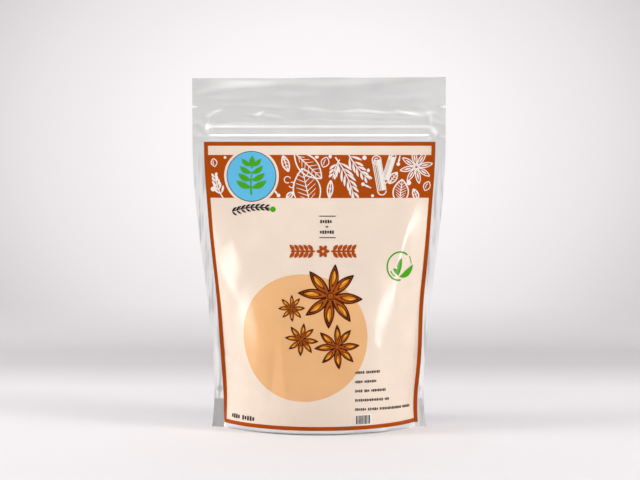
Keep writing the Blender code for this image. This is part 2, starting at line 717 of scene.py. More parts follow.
    def sway(self, across: np.ndarray, up: np.ndarray) -> np.ndarray:
        """How far both faces together bend out of the seam plane, at the header and along the fins.

        Args:
            across: Places across the film.
            up: Places up the film.

        Returns:
            The shift towards the front at each place.
        """
        flap = FLAP.lift(across, up) * ease(up, self.flap_starts, self.height)
        fin = ease(np.abs(across), self.half_face, self.half_film) * (1 - ease(up, *self.fin_ends))
        lean = self.corner_lean * np.clip(1 - up / self.corner_height, 0, 1)
        return flap + (RIPPLE.lift(across, up) - lean) * fin

    def edge_rise(self, across: np.ndarray, up: np.ndarray) -> np.ndarray:
        """How far the top edge's waviness moves a place up.

        Args:
            across: Places across the film.
            up: Places up the film.

        Returns:
            The rise at each place.
        """
        tilt = self.top_tilt * across / self.half_film
        wave = TOP_EDGE.lift(across, up)
        return (wave + tilt - self.top_dip) * ease(up, self.top_starts, self.height)

    def place(self, across: np.ndarray, up: np.ndarray, front: bool) -> np.ndarray:
        """Where places of one face of the film end up.

        Args:
            across: Places across the film.
            up: Places up the film.
            front: True for the printed face, False for the plain back.

        Returns:
            Points, one more axis than the places have.
        """
        angle = self.half_angle(self.bulge(up))
        radius = self.half_face / angle
        on_face = np.minimum(np.abs(across), self.half_face)
        turned = on_face / radius
        outward = np.sign(across) * np.sin(turned)
        forward = np.cos(turned)
        depth = radius * (forward - np.cos(angle)) + self.seal_thickness / 2
        x = radius * outward + np.sign(across) * (np.abs(across) - on_face)
        lift = self.rib_lift(across, up)
        lift = lift + self.waves(across, up, self.front_seed if front else self.back_seed)
        if front:
            lift = lift + sum(crease.lift(across, up) for crease in self.creases)
        away = np.hypot(np.abs(across) - self.punch_aside, up - self.punch_height)
        lift = lift - self.punch_depth * np.exp(-((away / self.punch_radius) ** 4))
        lift = lift * ease(up, 0, 4 * MM)
        uneven = 1 + (FRONT_UNDERCUT if front else BACK_UNDERCUT).lift(across, up * 0)
        tuck = np.clip(1 - up / (self.undercut_height * uneven), 0, 1) ** 1.6
        lift = lift - self.undercut_depth * tuck * ease(depth, 2 * MM, 8 * MM)
        depth = np.maximum(depth + lift * forward, self.seal_thickness / 2)
        side = -1 if front else 1
        y = side * depth - self.sway(across, up)
        z = up + self.edge_rise(across, up)
        return np.stack([x + lift * outward * 0.5, y, z], axis=-1)

    def underside(self, across: np.ndarray, layer: np.ndarray) -> np.ndarray:
        """Where places of the gusset end up: flat on its rim and arched between.

        Args:
            across: Places across the film.
            layer: From -1, the front edge of the foot, to 1, its back edge.

        Returns:
            Points, one more axis than the places have.
        """
        floor = np.zeros_like(across)
        front = self.place(across, floor, True)
        back = self.place(across, floor, False)
        share = (layer + 1) / 2
        middle = front * (1 - share)[..., None] + back * share[..., None]
        depth = (back[..., 1] - front[..., 1]) / 2
        inner = np.maximum(depth - self.rim_width, 0)
        inward = np.minimum(np.abs(layer) * depth / np.maximum(inner, 1e-9), 1)
        to_side = (across / self.half_face) ** 2
        tall = self.arch_middle + (self.arch_sides - self.arch_middle) * to_side
        arch = np.minimum(tall, self.arch_steepest * inner) * (1 - inward**2)
        fold = self.fold_height * np.exp(-np.abs(layer) / 0.03) * (inner > 5 * MM)
        middle[..., 2] = arch + fold * (np.abs(layer) < 1)
        return middle


# ----------------------------------------------------------------------------------------- the film


def evenly(start: float, end: float, step: float) -> list[float]:
    """Places from start to end, both included, no further apart than step.

    Args:
        start: First place.
        end: Last place.
        step: Largest distance between two.

    Returns:
        The places.
    """
    return [float(v) for v in np.linspace(start, end, math.ceil((end - start) / step - 1e-9) + 1)]


@dataclass
class FilmGrid:
    """The lines along which the film and all that is printed on it are cut, so that they fit."""

    shape: PouchShape
    pitch: float = 1.25 * MM
    fine_pitch: float = 0.5 * MM

    def __post_init__(self) -> None:
        """Lays out the lines and works out the printed face at each crossing.

        The rows are closest together over the strip, and lines meet the notches' corners.
        """
        shape = self.shape
        fin = [shape.half_film, 78 * MM, shape.half_film - shape.notch_depth, 75.2 * MM, 73.6 * MM]
        face = evenly(-shape.half_face, shape.half_face, self.pitch)
        self.columns = np.array([*(-f for f in fin), *face, *reversed(fin)])
        notch, half = shape.notch_height, shape.notch_half_width
        self.rows = np.array(
            [
                0,
                0.4 * MM,
                1 * MM,
                *evenly(2 * MM, 30 * MM, self.pitch * 0.9),
                *evenly(30 * MM, 180 * MM, self.pitch)[1:],
                *evenly(180 * MM, notch - half, self.fine_pitch)[1:],
                notch,
                notch + half,
                *evenly(notch + 2 * half, shape.height, self.pitch),
            ]
        )
        across, up = np.meshgrid(self.columns, self.rows, indexing="ij")
        self.places = shape.place(across, up, True)
        along = np.gradient(self.places, self.columns, axis=0)
        rising = np.gradient(self.places, self.rows, axis=1)
        normals = np.cross(along, rising)
        self.normals = normals / np.linalg.norm(normals, axis=-1, keepdims=True)

    def on_film(self, flat: np.ndarray, lift: np.ndarray) -> tuple[np.ndarray, np.ndarray]:
        """Lays flat places on the printed face.

        Args:
            flat: One row for each place, how far across and how far up.
            lift: How far each stands off the film.

        Returns:
            The points, and the film's outward direction at each.
        """
        i = np.clip(np.searchsorted(self.columns, flat[:, 0]) - 1, 0, len(self.columns) - 2)
        j = np.clip(np.searchsorted(self.rows, flat[:, 1]) - 1, 0, len(self.rows) - 2)
        u = ((flat[:, 0] - self.columns[i]) / (self.columns[i + 1] - self.columns[i]))[:, None]
        v = ((flat[:, 1] - self.rows[j]) / (self.rows[j + 1] - self.rows[j]))[:, None]

        def between(values: np.ndarray) -> np.ndarray:
            """Blends the four corners of each place's cell."""
            low = values[i, j] * (1 - u) + values[i + 1, j] * u
            high = values[i, j + 1] * (1 - u) + values[i + 1, j + 1] * u
            return low * (1 - v) + high * v

        normals = between(self.normals)
        normals /= np.linalg.norm(normals, axis=1, keepdims=True)
        return between(self.places) + normals * lift[:, None], normals


def add_piece(name: str, bm: Mesh, material: bpy.types.Material) -> bpy.types.Object:
    """Turns a finished bmesh into a smooth piece of the object.

    Args:
        name: The piece's name.
        bm: Its mesh, which is freed.
        material: Its material.

    Returns:
        The piece.
    """
    mesh = bpy.data.meshes.new(name)
    bm.to_mesh(mesh)
    bm.free()
    mesh.shade_smooth()
    mesh.materials.append(material)
    piece = bpy.data.objects.new(name, mesh)
    bpy.context.scene.collection.objects.link(piece)
    return piece


def add_grid(bm: Mesh, across: int, up: int) -> list[tuple[bmesh.types.BMVert, int, int]]:
    """Adds a flat grid to be shaped.

    Args:
        bm: The mesh that gets it.
        across: Cells in a row.
        up: Cells in a column.

    Returns:
        Each vertex with its number along the row and up the column.
    """
    made = bmesh.ops.create_grid(bm, x_segments=across, y_segments=up, size=0.5)
    return [(v, round((v.co.x + 0.5) * across), round((v.co.y + 0.5) * up)) for v in made["verts"]]


@dataclass
class FilmSkin:
    """The pouch itself: two faces, the fins, the header and the gusset, as one closed skin."""

    grid: FilmGrid
    finish: SilverFilm = SilverFilm()
    layers: int = 36

    def build(self) -> bpy.types.Object:
        """Makes the skin in place of the plain solid.

        Returns:
            The piece.
        """
        shape, columns, rows = self.grid.shape, self.grid.columns, self.grid.rows
        across, up = np.meshgrid(columns, rows, indexing="ij")
        tip = shape.half_film - shape.notch_depth
        at_notch = np.abs(up - shape.notch_height) < SAME_PLACE
        across = np.where(at_notch, np.clip(across, -tip, tip), across)
        faces = {front: shape.place(across, up, front) for front in (True, False)}
        bm = bmesh.new()
        for places in faces.values():
            for vert, i, j in add_grid(bm, len(columns) - 1, len(rows) - 1):
                vert.co = places[i, j]
        for i in (0, -1):
            for vert, side, j in add_grid(bm, 1, len(rows) - 1):
                vert.co = faces[side == 0][i, j]
        for vert, i, side in add_grid(bm, len(columns) - 1, 1):
            vert.co = faces[side == 0][i, -1]
        layers = np.linspace(-1, 1, self.layers + 1)
        under = shape.underside(*np.meshgrid(columns, layers, indexing="ij"))
        for vert, i, j in add_grid(bm, len(columns) - 1, self.layers):
            vert.co = under[i, j]
        bmesh.ops.remove_doubles(bm, verts=bm.verts, dist=0.01 * MM)
        bmesh.ops.dissolve_degenerate(bm, edges=bm.edges, dist=SAME_PLACE)
        bmesh.ops.recalc_face_normals(bm, faces=bm.faces)
        piece = add_piece("pouch_skin", bm, self.finish.material())
        piece.data.set_sharp_from_angle(angle=math.radians(50))
        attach(piece, "root")
        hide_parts("pouch")
        return piece


# ------------------------------------------------------------------------------------------ drawing


@dataclass(frozen=True)
class Ribbon:
    """A flat shape drawn along a path, with its own half width at each point. Lengths in mm."""

    path: np.ndarray
    half_widths: np.ndarray

    def moved(self, centre: Point, turn: float = 0.0, scale: float = 1.0) -> "Ribbon":
        """The same ribbon, scaled, turned and then moved.

        Args:
            centre: Where its origin goes.
            turn: Turn to the left, in degrees.
            scale: How many times as large.

        Returns:
            The new ribbon.
        """
        c, s = math.cos(math.radians(turn)), math.sin(math.radians(turn))
        spun = self.path @ np.array([[c, s], [-s, c]]) * scale
        return Ribbon(spun + np.array(centre), self.half_widths * scale)


Drawing = list[Ribbon]


def run_and_left(start: Point, end: Point) -> tuple[np.ndarray, np.ndarray]:
    """The way from start to end, and the direction to its left.

    Args:
        start: First point.
        end: Last point.

    Returns:
        The way, at its full length, and the direction, of length 1.
    """
    run = np.subtract(end, start)
    return run, np.array([-run[1], run[0]]) / np.hypot(*run)


def bent(start: Point, end: Point, bend: float, count: int) -> np.ndarray:
    """Points along a shallow bow from start to end.

    Args:
        start: First point.
        end: Last point.
        bend: How far the middle stands to the left of the straight line.
        count: How many points.

    Returns:
        The points.
    """
    share = np.linspace(0, 1, count)[:, None]
    run, left = run_and_left(start, end)
    return np.array(start) + share * run + 4 * share * (1 - share) * bend * left


def stroke(start: Point, end: Point, width: float, bend: float = 0.0, taper: float = 0.0) -> Ribbon:
    """A drawn line.

    Args:
        start: First point.
        end: Last point.
        width: Its width at the start.
        bend: How far it bows to the left.
        taper: Share of the width lost by its end.

    Returns:
        The line.
    """
    count = 2 if bend == 0 else 12
    widths = 0.5 * width * (1 - taper * np.linspace(0, 1, count))
    return Ribbon(bent(start, end, bend, count), widths)


def blade(
    start: Point, end: Point, width: float, bend: float = 0.0, fullest: float = 0.5
) -> Ribbon:
    """A filled leaf or petal, pointed at both ends.

    Args:
        start: Its base.
        end: Its tip.
        width: Its greatest width.
        bend: How far it bows to the left.
        fullest: Where along it the greatest width is, 0 to 1.

    Returns:
        The blade.
    """
    share = np.linspace(0, 1, 17)
    power = math.log(0.5) / math.log(fullest)
    return Ribbon(bent(start, end, bend, 17), 0.5 * width * np.sin(math.pi * share**power) ** 0.85)


def disc(centre: Point, radius: float, squash: float = 1.0, count: int = 49) -> Ribbon:
    """A filled round or oval.

    Args:
        centre: Its middle.
        radius: Half its width.
        squash: Its height over its width.
        count: Points along it.

    Returns:
        The disc.
    """
    turn = np.linspace(0, math.pi, count)
    path = np.stack([centre[0] - radius * np.cos(turn), np.full(count, centre[1])], axis=1)
    return Ribbon(path, radius * squash * np.sin(turn))


def ring(centre: Point, radius: float, width: float, start: float = 0, end: float = 360) -> Ribbon:
    """A ring, or a part of one.

    Args:
        centre: Its middle.
        radius: From the middle to the middle of its width.
        width: Its width.
        start: Where it starts, in degrees.
        end: Where it ends, in degrees.

    Returns:
        The ring.
    """
    turn = np.radians(np.linspace(start, end, max(8, int(abs(end - start) / 5)) + 1))
    path = np.array(centre) + radius * np.stack([np.cos(turn), np.sin(turn)], axis=1)
    return Ribbon(path, np.full(len(turn), width / 2))


def outline(start: Point, end: Point, width: float, pen: float, bend: float = 0.0) -> Drawing:
    """The two edges of a leaf, drawn with a pen.

    Args:
        start: Its base.
        end: Its tip.
        width: Its greatest width.
        pen: Width of the line.
        bend: How far the leaf bows to the left.

    Returns:
        The two lines.
    """
    return [stroke(start, end, pen, bend + side * width / 2) for side in (1, -1)]


@dataclass
class Window:
    """The part of the film that a drawing may cover. Lengths in mm."""

    left: float
    right: float
    low: float
    high: float


@dataclass
class Press:
    """Prints flat drawings on the film as thin layers of ink that follow it."""

    grid: FilmGrid
    layer: float = 0.05 * MM
    ink_thickness: float = 0.03 * MM
    stagger: float = 0.0035 * MM
    weld: float = 0.002 * MM

    def draw(self, bm: Mesh, ribbon: Ribbon, order: int) -> None:
        """Adds one ribbon, flat, each a hair higher than the one before.

        Args:
            bm: The flat drawing.
            ribbon: What to add.
            order: Its number in the drawing.
        """
        path = ribbon.path * MM
        run = np.gradient(path, axis=0)
        if np.allclose(path[0], path[-1]) and len(path) > 3:
            run[0] = run[-1] = path[1] - path[-2]
        run /= np.linalg.norm(run, axis=1, keepdims=True)
        left = np.stack([-run[:, 1], run[:, 0]], axis=1) * ribbon.half_widths[:, None] * MM
        made = add_grid(bm, len(path) - 1, 1)
        for vert, i, side in made:
            spot = path[i] + (left[i] if side else -left[i])
            vert.co = (spot[0], spot[1], (order % 5) * self.stagger)
        bmesh.ops.remove_doubles(bm, verts=[v for v, _, _ in made], dist=self.weld)

    def trim(self, bm: Mesh, window: Window) -> None:
        """Cuts away what lies outside a window.

        Args:
            bm: The flat drawing.
            window: What stays.
        """
        sides = (
            ((window.left, 0), (-1, 0)),
            ((window.right, 0), (1, 0)),
            ((0, window.low), (0, -1)),
            ((0, window.high), (0, 1)),
        )
        for (x, y), normal in sides:
            self.cut(bm, (x * MM, y * MM), normal, clear_outer=True)

    def cut(self, bm: Mesh, spot: Point, normal: Point, **options: bool | float) -> None:
        """Cuts a flat drawing along a straight line.

        Args:
            bm: The flat drawing.
            spot: A point of the line.
            normal: Its direction away from the line.
            options: Other settings of the cut.
        """
        geometry = bm.verts[:] + bm.edges[:] + bm.faces[:]
        place, facing = (*spot, 0), (*normal, 0)
        bmesh.ops.bisect_plane(bm, geom=geometry, plane_co=place, plane_no=facing, **options)

    def cut_to_grid(self, bm: Mesh) -> None:
        """Cuts a flat drawing along the film's own lines.

        Args:
            bm: The flat drawing.
        """
        for axis, lines in enumerate((self.grid.columns, self.grid.rows)):
            spread = [v.co[axis] for v in bm.verts]
            low, high = min(spread) + SAME_PLACE, max(spread) - SAME_PLACE
            normal = (1 - axis, axis)
            for line in lines[(lines > low) & (lines < high)]:
                self.cut(bm, (line * normal[0], line * normal[1]), normal, dist=SAME_PLACE)

    def print_piece(self, name: str, bm: Mesh, level: Level, ink: Ink) -> None:
        """Gives a flat drawing its thickness and lays it on the film.

        Args:
            name: The piece's name.
            bm: The flat drawing, cut along the film's lines; it is freed.
            level: How many layers lie under it.
            ink: Its finish.
        """
        bmesh.ops.recalc_face_normals(bm, faces=bm.faces)
        down = [f for f in bm.faces if f.normal.z < 0]
        bmesh.ops.reverse_faces(bm, faces=down)
        # For now the drawing is thick and high up, so that a vertex's height tells its side.
        raised, thick = 1.0, 0.5
        for vert in bm.verts:
            vert.co.z += raised
        bmesh.ops.solidify(bm, geom=bm.faces[:], thickness=thick)
        verts = bm.verts[:]
        flat = np.array([v.co[:] for v in verts])
        is_top = flat[:, 2] > raised - thick / 2
        base = (level.value + 1) * self.layer
        lift = np.where(is_top, base + flat[:, 2] - raised, base - self.ink_thickness)
        places, normals = self.grid.on_film(flat[:, :2], lift)
        for vert, place in zip(verts, places):
            vert.co = place
        piece = add_piece(name, bm, ink.material())
        facing = np.where(is_top[:, None], normals, -normals)
        piece.data.normals_split_custom_set_from_vertices(facing.tolist())
        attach(piece, "root")
        log.info("%s: %d faces", name, len(piece.data.polygons))

    def ribbons(
        self, name: str, drawing: Drawing, level: Level, ink: Ink, window: Window | None = None
    ) -> None:
        """Prints a drawing made of ribbons.

        Args:
            name: The piece's name.
            drawing: Its ribbons.
            level: How many layers lie under it.
            ink: Its finish.
            window: Where it is cut off, if anywhere.
        """
        bm = bmesh.new()
        for order, ribbon in enumerate(drawing):
            self.draw(bm, ribbon, order)
        if window:
            self.trim(bm, window)
        self.cut_to_grid(bm)
        self.print_piece(name, bm, level, ink)


# ---------------------------------------------------------------------------------------- the print


CREAM = Ink("cream_ink", linear(237, 218, 200), Slot.GROUND, sheen=0.38)
ORANGE = Ink("burnt_orange_ink", linear(170, 70, 0), Slot.ORANGE, unevenness=0.07, sheen=0.1)
PEACH = Ink("peach_ink", linear(234, 180, 124), sheen=0.38)
WHITE = Ink("white_ink", linear(240, 232, 224))
DARK = Ink("dark_ink", linear(40, 36, 36), sheen=0.12)
GREEN = Ink("green_ink", linear(70, 160, 16), sheen=0.15)
BLUE = Ink("sky_ink", linear(96, 184, 222), sheen=0.15)
BARK = Ink("dark_brown_ink", linear(66, 16, 2), unevenness=0.12, patch_size=4 * MM, sheen=0.1)
HUSK = Ink("husk_ink", linear(162, 78, 8), unevenness=0.22, patch_size=3 * MM, sheen=0.15)
SEED = Ink("seed_ink", linear(214, 128, 16), unevenness=0.18, patch_size=3 * MM, sheen=0.15)
GLINT = Ink("glint_ink", linear(250, 186, 84), unevenness=0.1, patch_size=3 * MM)


@dataclass
class Label:
    """The printed panel: cream ground, orange border and the wide orange band near its top."""

    press: Press
    low: float = 3.1
    high: float = 181.3
    border: float = 2.5
    band: tuple[float, float] = (146.0, 173.0)

    def left(self, up: float) -> float:
        """Where the panel's left edge is. It bows out over the belly, and draws in below and above.

        Args:
            up: How far up the film.

        Returns:
            How far across the film.
        """
        belly = 1.7 * math.exp(-(((up - 48) / 34) ** 2))
        foot = 1.3 * max(0.0, 1 - up / 12) ** 2 + 0.9 * max(0.0, 1 - up / 24)
        return -73.4 - belly + foot + 0.7 * float(ease(up, 110.0, 150.0))

    def right(self, up: float) -> float:
        """Where the panel's right edge is, which bows out further.

        Args:
            up: How far up the film.

        Returns:
            How far across the film.
        """
        belly = 2.7 * math.exp(-(((up - 44) / 30) ** 2)) * (1 - math.exp(-up / 14))
        return 73.5 + 1.5 * float(ease(150.0 - up, 0.0, 60.0)) + belly

    def strip(self, bm: Mesh, left: Edge, right: Edge, low: float, high: float) -> None:
        """Adds a field between two upright edges.

        Args:
            bm: The flat drawing.
            left: Gives the left edge for a height.
            right: Gives the right edge for a height.
            low: Its bottom.
            high: Its top.
        """
        count = max(1, math.ceil((high - low) / 6))
        for vert, side, j in add_grid(bm, 1, count):
            up = low + (high - low) * j / count
            vert.co = ((right if side else left)(up) * MM, up * MM, 0)

    def build(self) -> None:
        """Prints the ground, then the orange."""
        bm = bmesh.new()
        self.strip(bm, self.left, self.right, self.low, self.high)
        self.press.cut_to_grid(bm)
        self.press.print_piece("label_ground", bm, Level.GROUND, CREAM)
        rim = self.border
        bm = bmesh.new()
        for low, high in ((self.low, self.low + rim), (self.high - rim, self.high), self.band):
            self.strip(bm, self.left, self.right, low, high)
        for low, high in ((self.low + rim, self.band[0]), (self.band[1], self.high - rim)):
            self.strip(bm, self.left, lambda up: self.left(up) + rim, low, high)
            self.strip(bm, lambda up: self.right(up) - rim, self.right, low, high)
        self.press.cut_to_grid(bm)
        bmesh.ops.remove_doubles(bm, verts=bm.verts, dist=self.press.weld)
        self.press.print_piece("label_orange", bm, Level.FIELD, ORANGE)


@dataclass
class SpiceBand:
    """White pen drawings of common leaves and whole spices, scattered over the orange band."""

    press: Press
    label: Label
    pen: float = 0.85

    def veined_leaf(self, start: Point, end: Point, width: float, veins: int) -> Drawing:
        """An outlined leaf with a midrib and side veins.

        Args:
            start: Its base.
            end: Its tip.
            width: Its greatest width.
            veins: Side veins on each side.

        Returns:
            Its lines.
        """
        run, left = run_and_left(start, end)
        lines = outline(start, end, width, self.pen)
        lines.append(stroke(start, end, self.pen * 0.9, taper=0.4))
        for k in range(veins):
            share = 0.16 + 0.62 * k / max(1, veins - 1)
            root = np.array(start) + share * run
            reach = 0.5 * width * 4 * share * (1 - share) * 0.72
            for side in (-1, 1):
                tip = root + run * 0.13 + side * left * reach
                lines.append(stroke(tuple(root), tuple(tip), self.pen * 0.55, taper=0.4))
        return lines

    def sprig(self, start: Point, end: Point, needles: int, length: float, bend: float) -> Drawing:
        """A stem with narrow leaves on both sides.

        Args:
            start: Where the stem is cut.
            end: Its tip.
            needles: Leaves on each side.
            length: Length of the longest leaf.
            bend: How far the stem bows.

        Returns:
            Its blades.
        """
        stem = bent(start, end, bend, needles + 2)
        parts = [stroke(start, end, self.pen, bend, 0.5)]
        heading = math.atan2(end[1] - start[1], end[0] - start[0])
        for k in range(1, needles + 1):
            size = length * (1 - 0.45 * k / needles)
            for side in (-1, 1):
                aim = heading + side * (0.56 - 0.04 * k + 0.07 * (k % 2))
                tip = stem[k] + size * np.array([math.cos(aim), math.sin(aim)])
                parts.append(blade(tuple(stem[k]), tuple(tip), 1.5, side * 0.4, 0.6))
        return parts

    def rolled_stick(self, low: Point, high: Point, width: float) -> Drawing:
        """A rolled bark stick with its open end upwards.

        Args:
            low: Middle of its lower end.
            high: Middle of its upper end.
            width: Its thickness.

        Returns:
            Its lines and fields.
        """
        _, left = run_and_left(low, high)
        core = [np.array(end) - left * width * 0.2 for end in (low, high)]
        parts = [Ribbon(np.array(core), np.full(2, width * 0.22))]
        for share in (-0.5, 0.12, 0.32, 0.5):
            offset = left * width * share
            parts.append(stroke(tuple(low + offset), tuple(high + offset), self.pen * 0.7))
        parts.append(ring(high, width * 0.5, self.pen * 0.8))
        parts.append(ring(high, width * 0.22, self.pen * 0.7, 40, 330))
        parts.append(ring(low, width * 0.5, self.pen * 0.8, 180, 360))
        return parts

    def star(self, centre: Point, radius: float, turn: float) -> Drawing:
        """An eight-pointed seed pod, outlined.

        Args:
            centre: Its middle.
            radius: To its tips.
            turn: Turn to the left, in degrees.

        Returns:
            Its lines.
        """
        parts = [ring(centre, radius * 0.1, self.pen * 0.7)]
        for k in range(8):
            for line in outline((0.12, 0), (1, 0), 0.27, self.pen / radius * 0.8):
                parts.append(line.moved(centre, turn + 45 * k, radius))
            parts.append(blade((0.3, 0), (0.78, 0), 0.09).moved(centre, turn + 45 * k, radius))
        return parts

    def clove(self, centre: Point, turn: float) -> Drawing:
        """A clove: a round head on a short stalk.

        Args:
            centre: Middle of its head.
            turn: Which way the stalk points, in degrees.

        Returns:
            Its shapes.
        """
        head, tip = disc((0, 0), 1.15, 1, 17), disc((5.2, 0), 0.45, 1, 9)
        stalk = blade((0.6, 0), (5.6, 0), 1.2, 0, 0.4)
        return [p.moved(centre, turn) for p in (head, stalk, tip)]

    def seed(self, centre: Point, length: float, turn: float) -> Drawing:
        """An outlined seed with a short line in it.

        Args:
            centre: Its middle.
            length: Its length.
            turn: Turn to the left, in degrees.

        Returns:
            Its lines.
        """
        half = length / 2
        parts = outline((-half, 0), (half, 0), length * 0.72, self.pen * 0.7)
        parts.append(stroke((-half * 0.5, 0.2), (half * 0.5, 0.2), self.pen * 0.6, 0.4))
        return [p.moved(centre, turn) for p in parts]

    def drawing(self) -> Drawing:
        """All that is scattered over the band.

        Returns:
            Its lines and fields, in the order in which they are drawn.
        """
        return [
            *self.seed((-66.5, 168.2), 5.2, 100),
            *self.sprig((-61.5, 146), (-66, 161.5), 5, 6.5, 1.2),
            disc((-68, 151.5), 1.5, 1, 17),
            disc((-59.4, 171.4), 0.9, 1, 13),
            *self.veined_leaf((-22.8, 172.5), (-19.2, 162.5), 4.2, 4),
            *self.clove((-25.4, 147.6), 130),
            ring((-19.8, 157.4), 2.0, 0.6, 20, 300),
            ring((-17.2, 154.2), 1.7, 0.55, 200, 470),
            *self.veined_leaf((-20.4, 145.6), (-16.4, 149.6), 3.0, 2),
            *self.veined_leaf((-15.6, 174.5), (1.6, 158.2), 11.5, 6),
            *self.veined_leaf((-4.6, 137.5), (-10.6, 164.5), 17.0, 7),
            disc((-1.4, 171.6), 1.3, 0.75, 17),
            disc((7.0, 172.0), 1.0, 1.3, 13),
            *self.seed((3.8, 168.4), 6.8, 70),
            *self.sprig((10.2, 171.5), (22.0, 146.0), 6, 10.5, 1.6),
            *self.sprig((13.0, 170.0), (8.6, 158.0), 3, 7.0, -0.8),
            *self.sprig((17.5, 175.5), (32.0, 157.5), 5, 9.0, -1.4),
            *self.veined_leaf((6.4, 146.0), (7.4, 157.0), 3.4, 3),
            *self.clove((27.6, 154.6), 335),
            disc((28.6, 171.2), 1.4, 1, 17),
            disc((31.0, 163.2), 0.9, 1.3, 13),
            *self.rolled_stick((39.6, 150.6), (36.2, 169.8), 5.4),
            *self.rolled_stick((41.6, 157.4), (46.4, 172.0), 4.2),
            *self.veined_leaf((44.0, 155.0), (49.4, 162.0), 4.4, 4),
            *self.veined_leaf((51.0, 141.5), (52.6, 157.6), 10.0, 7),
            *self.clove((50.0, 167.2), 78),
            *self.star((61.6, 165.4), 10.6, 12),
            *self.seed((69.0, 153.4), 6.2, 66),
            disc((57.0, 155.4), 1.5, 1, 17),
            disc((33.6, 147.4), 0.9, 1, 13),
            *self.veined_leaf((63.4, 144.4), (60.0, 151.6), 3.6, 3),
        ]

    def build(self) -> None:
        """Prints the band's drawings."""
        low, high = self.label.band
        window = Window(self.label.left(high) + 0.8, self.label.right(high) - 0.8, low, high)
        self.press.ribbons("band_drawings", self.drawing(), Level.MARK, WHITE, window)


@dataclass
class Roundel:
    """A plain round picture of leaves in a cream ring."""

    press: Press
    centre: Point = (-42.7, 159.5)
    radius: float = 15.9
    rim: float = 1.6

    def build(self) -> None:
        """Prints the roundel."""
        c, r = self.centre, self.radius
        self.press.ribbons("roundel_rim", [disc(c, r + self.rim)], Level.OVER, CREAM)
        self.press.ribbons("roundel_edge", [disc(c, r)], Level.TOP, DARK)
        self.press.ribbons("roundel_field", [disc(c, r - 0.45)], Level.CROWN, BLUE)
        stem = [stroke((c[0], c[1] - 11.5), (c[0] + 0.6, c[1] + 3), 1.3, 0.6, 0.5)]
        pairs = []
        for k in range(4):
            height = c[1] - 7 + 4.6 * k
            size = 9.6 - 1.2 * k
            for side in (-1, 1):
                tip = (c[0] + side * size, height + 4.4)
                pairs.append(blade((c[0] + 0.2 * k * 0.5, height), tip, 3.9 - 0.3 * k, -side * 0.9))
        pairs.append(blade((c[0] + 0.4, c[1] + 5), (c[0] + 0.6, c[1] + 13), 3.6))
        self.press.ribbons("roundel_leaves", pairs + stem, Level.PEAK, GREEN)


@dataclass
class SpicePicture:
    """The peach disc and the four star-shaped seed pods drawn over it."""

    press: Press
    centre: Point = (-10.2, 60.2)
    radius: float = 41.0
    squash: float = 0.95
    pods: tuple[tuple[Point, float, float], ...] = (
        ((7.2, 85.8), 20.6, -6.0),
        ((-17.0, 78.4), 8.6, 2.0),
        ((-10.8, 59.4), 10.6, -6.0),
        ((11.2, 54.8), 14.3, 3.0),
    )

    def pod(self, base: float, tip: float, width: float, fullest: float, lean: float) -> Drawing:
        """One layer of a pod's eight points, for a pod of radius 1.

        Args:
            base: Where each point starts from the middle.
            tip: Where it ends.
            width: Its greatest width.
            fullest: Where along it that is.
            lean: How far each point bows.

        Returns:
            The eight blades.
        """
        points = []
        for k in range(8):
            long = 1.0 - 0.05 * ((k * 3) % 4) / 3
            bend = lean * (1 if k % 2 else -1)
            wide = width * (1.06 - 0.05 * (k % 3))
            shape = blade((base, 0), (tip * long, 0), wide, bend, fullest)
            points.append(shape.moved((0, 0), 45 * k + 2.5 * math.sin(2.3 * k)))
        return points

    def build(self) -> None:
        """Prints the disc and the pods, layer on layer."""
        flat = disc(self.centre, self.radius, self.squash, 97)
        self.press.ribbons("picture_disc", [flat], Level.FIELD, PEACH)
        coats = {
            "pod_outlines": (self.pod(0.0, 1.0, 0.31, 0.5, 0.02), Level.MARK, BARK),
            "pod_husks": (self.pod(0.1, 0.9, 0.235, 0.52, 0.02), Level.OVER, HUSK),
            "pod_mouths": (self.pod(0.26, 0.88, 0.165, 0.55, 0.02), Level.TOP, BARK),
            "pod_seeds": (self.pod(0.34, 0.8, 0.122, 0.5, 0.016), Level.CROWN, SEED),
            "pod_glints": (self.pod(0.44, 0.72, 0.034, 0.6, 0.04), Level.PEAK, GLINT),
        }
        for name, (blades, level, ink) in coats.items():
            drawing = [b.moved(at, turn, size) for at, size, turn in self.pods for b in blades]
            if name == "pod_husks":
                drawing += [disc(at, size * 0.14, 1, 21) for at, size, _ in self.pods]
            self.press.ribbons(name, drawing, level, ink)
        hearts = [ring(at, size * 0.1, size * 0.025) for at, size, _ in self.pods]
        self.press.ribbons("pod_hearts", hearts, Level.TOP, BARK)


